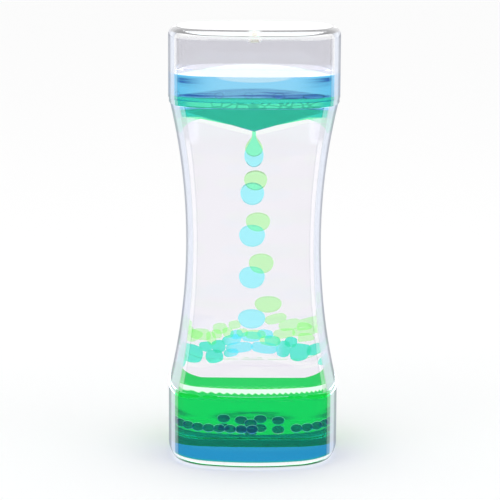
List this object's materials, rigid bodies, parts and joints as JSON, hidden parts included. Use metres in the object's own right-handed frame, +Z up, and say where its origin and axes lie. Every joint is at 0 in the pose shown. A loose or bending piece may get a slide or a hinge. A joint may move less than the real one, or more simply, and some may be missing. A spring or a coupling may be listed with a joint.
{
  "type": "liquid motion timer",
  "caption": "Clear hourglass-shaped timer with two chambers, in which blue and green drops fall through oil, land on a sloping plate and collect below.",
  "frame": {"origin": "centre of the flat base, on the surface that it stands on", "axes": "+X to the right and +Y to the back as seen from the front, +Z up; the blue chamber is in front"},
  "size_m": [0.053, 0.053, 0.1335],
  "materials": {
    "clear_acrylic": "clear polished acrylic",
    "cream_plug": "cream plastic, slightly shiny",
    "blue_liquid": "clear water dyed blue",
    "green_liquid": "clear water dyed green",
    "clear_oil": "clear colourless oil"
  },
  "bodies": {
    "housing": {"top_cup": "clear_acrylic", "bottom_cup": "clear_acrylic", "front_fill_plug": "cream_plug", "rear_fill_plug": "cream_plug", "front_shell": "clear_acrylic", "rear_shell": "clear_acrylic", "upper_drip_plate": "clear_acrylic", "lower_drip_plate": "clear_acrylic", "top_divider": "clear_acrylic", "middle_divider": "clear_acrylic", "bottom_divider": "clear_acrylic", "upper_blue_liquid": "blue_liquid", "upper_green_liquid": "green_liquid", "upper_rear_oil": "clear_oil", "oil_bubbles": "clear_oil", "blue_pendant_drop": "blue_liquid", "green_pendant_drop": "green_liquid", "blue_settled_beads": "blue_liquid", "green_settled_beads": "green_liquid", "front_oil": "clear_oil", "rear_oil": "clear_oil", "lower_blue_liquid": "blue_liquid", "lower_green_liquid": "green_liquid", "lower_front_oil": "clear_oil", "lower_rear_oil": "clear_oil", "blue_floating_beads": "blue_liquid", "green_froth": "green_liquid"},
    "first_blue_drop": {"blue_drop_1": "blue_liquid"},
    "second_blue_drop": {"blue_drop_2": "blue_liquid"},
    "third_blue_drop": {"blue_drop_3": "blue_liquid"},
    "landing_blue_drop": {"blue_drop_4": "blue_liquid"},
    "first_green_drop": {"green_drop_1": "green_liquid"},
    "second_green_drop": {"green_drop_2": "green_liquid"},
    "third_green_drop": {"green_drop_3": "green_liquid"},
    "landing_green_drop": {"green_drop_4": "green_liquid"},
    "blue_drop_in_slot": {"blue_slot_drop": "blue_liquid"},
    "green_drops_in_slot": {"green_slot_drops": "green_liquid"}
  },
  "joints": [
    {"name": "blue_fall", "type": "slide", "parent": "housing", "child": "first_blue_drop", "axis": [0, 0, 1], "range_m": [-0.0055, 0.0042]},
    {"name": "second_blue_fall", "type": "slide", "parent": "housing", "child": "second_blue_drop", "axis": [0, 0, 1], "range_m": [-0.0055, 0.0042]},
    {"name": "third_blue_fall", "type": "slide", "parent": "housing", "child": "third_blue_drop", "axis": [0, 0, 1], "range_m": [-0.0055, 0.0042]},
    {"name": "blue_landing", "type": "slide", "parent": "housing", "child": "landing_blue_drop", "axis": [0, 0, 1], "range_m": [-0.00055, 0.00042]},
    {"name": "green_fall", "type": "slide", "parent": "housing", "child": "first_green_drop", "axis": [0, 0, 1], "range_m": [-0.0065, 0.0034]},
    {"name": "second_green_fall", "type": "slide", "parent": "housing", "child": "second_green_drop", "axis": [0, 0, 1], "range_m": [-0.0065, 0.0034]},
    {"name": "third_green_fall", "type": "slide", "parent": "housing", "child": "third_green_drop", "axis": [0, 0, 1], "range_m": [-0.0065, 0.0034]},
    {"name": "green_landing", "type": "slide", "parent": "housing", "child": "landing_green_drop", "axis": [0, 0, 1], "range_m": [-0.00065, 0.00034]},
    {"name": "blue_slot_fall", "type": "slide", "parent": "housing", "child": "blue_drop_in_slot", "axis": [0, 0, 1], "range_m": [-0.0065, 0]},
    {"name": "green_slot_fall", "type": "slide", "parent": "housing", "child": "green_drops_in_slot", "axis": [0, 0, 1], "range_m": [-0.0016, 0]}
  ],
  "couplings": [
    {"joint": "second_blue_fall", "follows": "blue_fall", "ratio": 1},
    {"joint": "third_blue_fall", "follows": "blue_fall", "ratio": 1},
    {"joint": "blue_landing", "follows": "blue_fall", "ratio": 0.1},
    {"joint": "second_green_fall", "follows": "green_fall", "ratio": 1},
    {"joint": "third_green_fall", "follows": "green_fall", "ratio": 1},
    {"joint": "green_landing", "follows": "green_fall", "ratio": 0.1}
  ]
}
